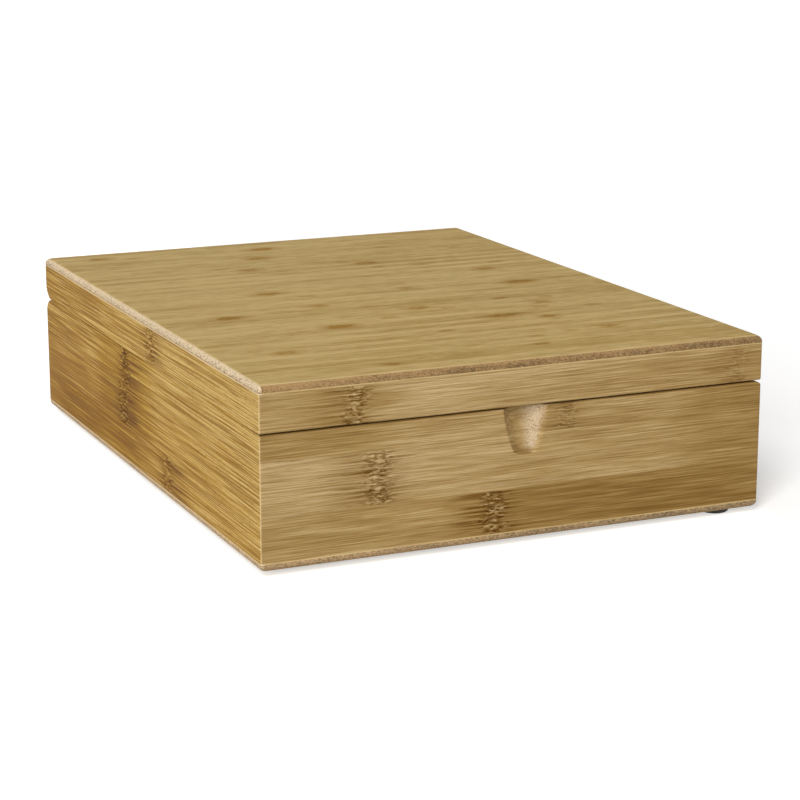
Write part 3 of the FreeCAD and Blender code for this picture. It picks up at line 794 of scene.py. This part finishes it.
def fibreboard(name, finish):
    """Raw edge of fibreboard: pressed wood fibres as small pale and dark specks."""
    material, shader, (x, y, z) = new_material(name)
    speck = z.grain(x * 0.9, y * 0.9, z * 1.7, 3.0, 0.7)
    dust = z.grain(x * 3.1, y * 3.1, z * 4.5, 2.0, 0.6)
    mass = z.grain(x * 0.05, y * 0.05, z * 0.2)
    # Painted highlight on the upward round-over at the top of the lid's core, besides rubbed
    # wear.
    rubbed_and_highlight = z.rise(83.6, 85.2)
    # The tone falls toward the right: painted shade.
    tone = 0.5 + (speck - 0.5) * 1.9 + (dust - 0.5) * 1.4 + (mass - 0.5) * 0.6 + \
        rubbed_and_highlight * 0.24 - x * 0.0010
    wood = tone.ramp((0.15, rgba(finish.fibreboard, 0.42)), (0.5, rgba(finish.fibreboard)),
                     (0.85, rgba(finish.fibreboard, 1.55)))
    # The left edge is painted paler, as lit from the left; below, the bottom panel's edge is
    # paler too.
    pale_and_lit = x.fall(LEFT_FACE + 1.2, LEFT_FACE + 1.8) * (z.rise(81.9, 83.3) + 0.4) * \
        (0.52 + rubbed_and_highlight * 0.3 + (speck - 0.5) * 3.4 + (dust - 0.5) * 2.0)
    pale_and_lit = pale_and_lit + z.fall(8, 12) * (0.16 + (speck - 0.5) * 0.8)
    wood = pale_and_lit.at_most(1.0).mix(wood, rgba(finish.fibreboard_pale_lit))
    connect(shader, Base_Color=wood, Roughness=0.78 + (dust - 0.5) * 0.2,
            Normal=bump(speck * 0.6 + dust * 0.6, 0.00012), Specular_IOR_Level=0.12)
    return material


def brushed_brass(name, finish):
    """Stamped brass: fine drawing marks along X, a little tarnish in blots."""
    material, shader, (x, y, z) = new_material(name)
    marks = z.grain(x * 0.25, y * 9.0, z * 9.0, 2.0, 0.6)
    blot = z.grain(x * 0.25, y * 0.5, z * 0.5, 3.0, 0.6)
    metal = blot.rise(0.42, 0.72).mix(rgba(finish.brass), rgba(finish.brass, 0.72))
    connect(shader, Base_Color=metal, Metallic=1.0, Roughness=0.36 + marks * 0.16 + blot * 0.1,
            Normal=bump(marks, 0.00001))
    return material


def moulded_rubber(name, finish):
    """Matt black rubber with a fine moulded grain and dust in blots."""
    material, shader, (x, y, z) = new_material(name)
    pitted = z.grain(x * 2.2, y * 2.2, z * 2.2)
    dust = z.grain(x * 0.5, y * 0.5, z * 0.5, 3.0)
    shade = (dust.rise(0.5, 0.8) * 0.4).mix(rgba(finish.rubber), rgba(finish.rubber, 4.0))
    connect(shader, Base_Color=shade, Roughness=0.66 + pitted * 0.15,
            Normal=bump(pitted, 0.00005))
    return material


# --- Pieces ---


class BuildPiece:
    """What the operators share: their options, and an execute that runs build."""

    bl_options = {"REGISTER", "UNDO"}

    def execute(self, context):
        self.build(context.scene.tea_box_sizes, context.scene.tea_box_finish)
        return {"FINISHED"}


# Nodes and darker stretches of the bamboo in millimetres: place along the fibres, lower and
# upper height of the strip, half width and strength.  The glue lines are heights.  The left
# wall's stretch low at the rear is painted shade.
BASE_NODES = {
    "front": ((23, 51.5, 63.6, 4, 0.5), (-70, 26.5, 51.5, 6, 0.8), (-14, 6.5, 26.5, 5, 0.9)),
    "left": ((22, 45, 63.6, 6, 1.0), (28, 24, 45, 6, 1.0), (-39, 6.5, 24, 7, 0.8)),
    "right": ((-70, 44, 63.6, 6, 0.9), (52, 25, 44, 6, 0.8), (118, 6.5, 25, 5, 0.9)),
    "rear": ((-50, 45, 63.6, 5, 0.8), (38, 22, 45, 6, 0.9), (-96, 6.5, 22, 6, 0.8)),
}
BASE_GLUE = {"front": (51.5, 26.5), "left": (45, 24), "right": (44, 25), "rear": (45, 22)}
LID_NODES = {
    "front": ((-80, 64, 81.5, 5, 0.85), (112, 64, 81.5, 4, 0.35)),
    "left": ((-18, 64, 81.5, 5, 0.9),),
    "right": ((64, 64, 81.5, 6, 0.8), (-120, 64, 81.5, 5, 0.7)),
    "rear": ((70, 64, 81.5, 6, 0.9),),
}
BASE_STAINS_AND_SHADE = {
    "front": ((45, 6.5, 26.5, 95, 1.0), (-112, 51.5, 66, 48, 0.7), (-105, 6.5, 26.5, 55, 0.6),
              (122, 26.5, 66, 42, 0.5)),
    "left": ((75, 6.5, 24, 70, 0.85), (25, 24, 63.6, 45, 0.75)),
}
LID_STAINS = {"front": ((-108, 64, 81.5, 48, 0.65),)}
# The last pair in each entry is painted shade: a slow darkening along the wall and toward its
# foot.
WOOD = {
    "front": dict(tint=(0.86, 0.83, 0.81), crisp=1.05, painted_falloff=(-1.1, 0.9)),
    "left": dict(tint=(1.00, 0.84, 0.34), crisp=3.0, stretch=2.4, painted_falloff=(-1.6, 4.0)),
    "right": dict(tint=(1.04, 0.98, 0.85), crisp=1.2, stretch=1.4, painted_falloff=(-0.3, 0.5)),
    "rear": dict(tint=(1.02, 0.99, 0.92), crisp=1.1, painted_falloff=(0, 0.4)),
}


class TEABOX_OT_base_walls(BuildPiece, bpy.types.Operator):
    """The four mitred walls of the base, with the rounded rim and the finger scoop"""

    bl_idname = "teabox.base_walls"
    bl_label = "Base walls"

    def build(self, sizes, finish):
        for index, side in enumerate(SIDES):
            node = "base_{}_wall".format(side)
            scooped = side == "front"
            wood = pressed_bamboo(
                node + "_bamboo", finish, side, BASE_NODES[side], 3.1 + 17.3 * index,
                glue_lines=BASE_GLUE[side], stains_and_shade=BASE_STAINS_AND_SHADE.get(side, ()),
                cut=partial(scoop_masks, sizes) if scooped else None, **WOOD[side])
            mesh = board(node + "_piece", sizes, side, FLOOR_TOP, RIM,
                         partial(base_rim_drop, sizes, side), scooped=scooped)
            place(mesh, wood, "base", "bamboo_wall", node)


class TEABOX_OT_lid_walls(BuildPiece, bpy.types.Operator):
    """The four mitred walls of the lid, rounded below at the rear"""

    bl_idname = "teabox.lid_walls"
    bl_label = "Lid walls"

    def build(self, sizes, finish):
        top = level("lid_front_wall", 1)
        for index, side in enumerate(SIDES):
            node = "lid_{}_wall".format(side)
            wood = pressed_bamboo(
                node + "_bamboo", finish, side, LID_NODES[side], 11.7 + 23.9 * index,
                stains_and_shade=LID_STAINS.get(side, ()), **WOOD[side])
            mesh = board(node + "_piece", sizes, side, LID_EDGE, top, None,
                         partial(lid_edge_lift, sizes, side))
            place(mesh, wood, "lid", "bamboo_wall", node)


# Strong smudges of the top veneer in millimetres: place, half length and strength.
TOP_SMUDGES = (
    (-8, 141, 8, 1.0), (-20, 115, 9, 0.6), (81, -2, 9, 1.0), (-47, -68, 8, 1.0),
    (35, -76, 10, 0.8), (-89, -29, 8, 0.8), (-50, 20, 8, 0.6), (-36, 84, 7, 0.5),
    (29, 79, 9, 0.5), (81, 38, 7, 0.6), (-100, 148, 7, 0.5), (70, -117, 8, 0.4),
    (5, -43, 7, 0.5), (54, -86, 5, 0.6), (-92, -110, 8, 0.4), (67, -53, 7, 0.4),
    (55, 63, 6, 0.3), (-38, -19, 8, 0.35), (20, 6, 6, 0.4), (-57, -150, 6, 0.4),
)


class TEABOX_OT_lid_panel(BuildPiece, bpy.types.Operator):
    """The lid's panel: a fibreboard core between two bamboo veneers, rounded over on top"""

    bl_idname = "teabox.lid_panel"
    bl_label = "Lid panel"

    def build(self, sizes, finish):
        low, inner, upper = (level(node, 0) for node in
                             ("lid_inner_veneer", "lid_core", "lid_top_veneer"))
        top = level("lid_top_veneer", 1)
        place_layer(sizes, "lid_core", rounded_rows(sizes, inner, upper, top, 1),
                    fibreboard("lid_fibreboard", finish), "lid", "fibreboard")
        place_layer(sizes, "lid_top_veneer", rounded_rows(sizes, upper, top, top, 1),
                    strip_veneer("top_veneer_bamboo", finish, 5.4, 4.3, TOP_SMUDGES), "lid")
        place_layer(sizes, "lid_inner_veneer", [(0, low), (0, inner)],
                    strip_veneer("lid_inner_bamboo", finish, 6.1, 91.3), "lid")


class TEABOX_OT_bottom_panel(BuildPiece, bpy.types.Operator):
    """The bottom panel, rounded over below"""

    bl_idname = "teabox.bottom_panel"
    bl_label = "Bottom panel"

    def build(self, sizes, finish):
        low, inner, upper = (level(node, 0) for node in
                             ("bottom_outer_veneer", "bottom_core", "bottom_inner_veneer"))
        place_layer(sizes, "bottom_core", rounded_rows(sizes, inner, upper, low, -1),
                    fibreboard("bottom_fibreboard", finish), "base", "fibreboard")
        place_layer(sizes, "bottom_outer_veneer", rounded_rows(sizes, low, inner, low, -1),
                    strip_veneer("bottom_outer_bamboo", finish, 5.7, 33.9), "base")
        place_layer(sizes, "bottom_inner_veneer", [(0, upper), (0, FLOOR_TOP)],
                    strip_veneer("bottom_inner_bamboo", finish, 5.9, 57.1), "base")


class TEABOX_OT_dividers(BuildPiece, bpy.types.Operator):
    """Five slats halved into each other, with eased edges"""

    bl_idname = "teabox.dividers"
    bl_label = "Divider slats"

    def build(self, sizes, finish):
        boxes = {kind: [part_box("divider_{}_{}".format(kind, n + 1)) for n in range(count)]
                 for kind, count in (("long", 2), ("cross", 3))}
        middles = {"long": [(low.x + high.x) / 2 for low, high in boxes["long"]],
                   "cross": [(low.y + high.y) / 2 for low, high in boxes["cross"]]}
        low, high = boxes["long"][0]
        height = high.z - low.z
        for number, (kind, other) in enumerate((("long", "cross"), ("cross", "long"))):
            lengthwise = kind == "long"
            notch = (height, height / 2) if lengthwise else (0, height / 2 + SLAT_FIT)
            for index, (low, high) in enumerate(boxes[kind]):
                node = "divider_{}_{}".format(kind, index + 1)
                half = high.y if lengthwise else high.x
                side = np.array(slat_outline(half, height, middles[other], *notch))
                along, up = np.concatenate((side, side[:1])).T
                across = np.array([[-SLAT / 2], [SLAT / 2]]) + middles[kind][index]
                x, y = (across, along) if lengthwise else (along, across)
                points = np.stack(np.broadcast_arrays(x, y, up + FLOOR_TOP), axis=-1)
                cap = np.arange(len(side))
                mesh = solid(node + "_piece", [points], [cap, (cap + len(side) + 1)[::-1]])
                wood = pressed_bamboo(
                    node + "_bamboo", finish, "left" if lengthwise else "front",
                    ((40.0 - 35 * index, 6, 57, 4, 0.6),), 71.3 + 9.7 * index + 31.1 * number)
                piece = place(mesh, wood, "base", "bamboo_slat", node)
                bevel = piece.modifiers.new("eased edges", "BEVEL")
                bevel.width = sizes.slat_ease
                bevel.segments = 3
                bevel.limit_method = "ANGLE"


class TEABOX_OT_feet(BuildPiece, bpy.types.Operator):
    """Four turned rubber feet, rounded below, with a shallow dimple"""

    bl_idname = "teabox.feet"
    bl_label = "Rubber feet"

    def build(self, sizes, finish):
        rubber = moulded_rubber("foot_rubber", finish)
        ease = sizes.foot_ease
        dimple = np.array([(0, 0.5), (1.2, 0.5), (1.7, 0)]) * MM
        for corner in ("front_left", "front_right", "rear_left", "rear_right"):
            node = "foot_" + corner
            low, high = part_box(node)
            radius, height = (high.x - low.x) / 2, high.z - low.z
            side = arc((radius - ease, ease), ease, -90, 0, 8)
            profile = np.concatenate((dimple, side, [(radius, height), (0, height)]))
            centre = ((low.x + high.x) / 2, (low.y + high.y) / 2, low.z)
            mesh = solid(node + "_piece", [turned(profile, centre)])
            place(mesh, rubber, "base", "foot_rubber", node)


class TEABOX_OT_hinges(BuildPiece, bpy.types.Operator):
    """The two butt hinges let into the rear walls, with their pins"""

    bl_idname = "teabox.hinges"
    bl_label = "Hinges"

    def build(self, sizes, finish):
        brass = brushed_brass("hinge_brass", finish)
        for side in ("left", "right"):
            for part in ("base_leaf", "lid_leaf", "pin"):
                dress(brass, "hinge_{}_{}".format(side, part))


def cross_recess(x, y):
    """1 in a cross of two arms through the middle, 0 outside, with sloping walls between."""
    arm, wall, reach, end = 0.34 * MM, 0.10 * MM, 1.05 * MM, 0.30 * MM
    x, y = np.abs(x), np.abs(y)
    return np.clip((arm - np.minimum(x, y)) / wall, 0, 1) * \
        np.clip((reach - np.maximum(x, y)) / end, 0, 1)


class TEABOX_OT_hinge_screws(BuildPiece, bpy.types.Operator):
    """The countersunk screws of the hinges, with a cross recess in their heads"""

    bl_idname = "teabox.hinge_screws"
    bl_label = "Hinge screws"

    def build(self, sizes, finish):
        brass = brushed_brass("screw_brass", finish)
        for body, upward in (("base", 1), ("lid", -1)):
            node = body + "_hinge_screws"
            low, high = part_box(node)
            head, shank, tip = (high.y - low.y) / 2, sizes.screw_shank / 2, high.z - low.z
            face = high.z if upward > 0 else low.z
            profile = np.array([(r, 0) for r in np.linspace(0, head, 17)] +
                               [(shank, head - shank), (shank, tip), (0, tip)])
            x, y, depth = np.moveaxis(turned(profile, (0, 0, 0), 64), -1, 0)
            depth = depth + (profile[:, 1:] == 0) * cross_recess(x, y) * sizes.recess_depth
            y, z = y + (low.y + high.y) / 2, face - upward * depth
            grids = []
            for side in ("left", "right"):
                first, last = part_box("hinge_{}_{}_leaf".format(side, body))
                middle = (first.x + last.x) / 2
                pitch = high.x - head - abs(middle)
                grids += [np.stack((x + place_at, y, z), axis=-1)
                          for place_at in (middle - pitch, middle + pitch)]
            place(solid(node + "_piece", grids), brass, body, "screw_brass", node)


# --- Stage ---


def soft_sun(name, toward, brightness, spread, tint):
    """A distant lamp; a surface that faces it straight on is lit to the given brightness."""
    lamp = bpy.data.lights.new(name, "SUN")
    lamp.energy, lamp.angle, lamp.color = brightness * math.pi, math.radians(spread), tint
    add(name, lamp).rotation_euler = Vector(toward).to_track_quat("Z", "Y").to_euler()


def background_rays(tree):
    """1 for the rays that show the background: of the camera, by gloss and through glass."""
    camera = Wire(tree.nodes.new("ShaderNodeLightPath").outputs["Is Camera Ray"])
    glossy, through = (Wire(camera.socket.node.outputs["Is {} Ray".format(kind)])
                       for kind in ("Glossy", "Transmission"))
    return camera.math("MAXIMUM", camera, glossy.math("MAXIMUM", glossy, through))


class TEABOX_OT_stage(BuildPiece, bpy.types.Operator):
    """Pale floor, soft lamps, world and camera"""

    bl_idname = "teabox.stage"
    bl_label = "Stage"

    def build(self, sizes, finish):
        scene = bpy.context.scene
        scene.view_settings.view_transform = "Standard"
        white = (1, 1, 1, 1)

        floor_mesh = bpy.data.meshes.new("floor")
        floor_mesh.from_pydata([(-8, -8, 0), (8, -8, 0), (8, 10, 0), (-8, 10, 0)], [],
                               [(0, 1, 2, 3)])
        add("floor", floor_mesh)
        paper = bpy.data.materials.new("floor_paper")
        seen = background_rays(empty_tree(paper))
        matt = seen.node("BsdfDiffuse", None, {"Color": seen.mix((0.8, 0.8, 0.8, 1), white)})
        glow = seen.node("Emission", None, {"Color": white, "Strength": 3.0})
        # Right of the box the floor glows less, which deepens the box's shadow there: painted
        # shadow.
        place_at = seen.node("TexCoord", None, None, "Object")
        right = place_at.node("SeparateXYZ", None, {0: place_at}).rise(0.115, 0.135)
        glowing = seen * (0.17 - right * 0.075)  # share of the floor's own white
        show(seen.node("MixShader", None, {0: glowing, 1: matt, 2: glow}))
        floor_mesh.materials.append(paper)

        world = bpy.data.worlds.new("studio")
        scene.world = world
        seen = background_rays(empty_tree(world))
        sky = seen.mix((0.40, 0.40, 0.403, 1), white)
        show(seen.node("Background", None, {"Color": sky}), "OutputWorld")

        warm = (1, 0.99, 0.97)
        soft_sun("key_lamp", (-0.68, -0.73, 0.32), 0.52, 20, warm)
        soft_sun("high_lamp", (-0.55, -0.60, 0.80), 0.40, 24, warm)

        camera = bpy.data.cameras.new("camera")
        camera.sensor_width = 36
        camera.lens = 105.08
        viewer = add("camera", camera)
        viewer.location = (-0.46028, -1.06373, 0.31503)
        viewer.rotation_euler = (math.radians(76.1774), 0, math.radians(-24.0341))
        scene.camera = viewer


# --- Panel and start ---

STEPS = (TEABOX_OT_stage, TEABOX_OT_base_walls, TEABOX_OT_lid_walls, TEABOX_OT_bottom_panel,
         TEABOX_OT_lid_panel, TEABOX_OT_dividers, TEABOX_OT_feet, TEABOX_OT_hinges,
         TEABOX_OT_hinge_screws)


class TEABOX_PT_sidebar(bpy.types.Panel):
    """Lists the sizes, the colours and the build steps of the box"""

    bl_label = "Tea Box"
    bl_idname = "TEABOX_PT_sidebar"
    bl_space_type = "VIEW_3D"
    bl_region_type = "UI"
    bl_category = "Tea Box"

    def draw(self, context):
        for step in STEPS:
            self.layout.operator(step.bl_idname)
        for group in (context.scene.tea_box_sizes, context.scene.tea_box_finish):
            box = self.layout.box()
            for name in type(group).__annotations__:
                box.prop(group, name)


CLASSES = (BoxSizes, BoxFinish, *STEPS, TEABOX_PT_sidebar)


def register():
    for item in CLASSES:
        bpy.utils.register_class(item)
    bpy.types.Scene.tea_box_sizes = bpy.props.PointerProperty(type=BoxSizes)
    bpy.types.Scene.tea_box_finish = bpy.props.PointerProperty(type=BoxFinish)


def unregister():
    del bpy.types.Scene.tea_box_finish
    del bpy.types.Scene.tea_box_sizes
    for item in reversed(CLASSES):
        bpy.utils.unregister_class(item)


def main():
    register()
    for step in STEPS:
        group, name = step.bl_idname.split(".")
        getattr(getattr(bpy.ops, group), name)()


if __name__ == "__main__":
    main()
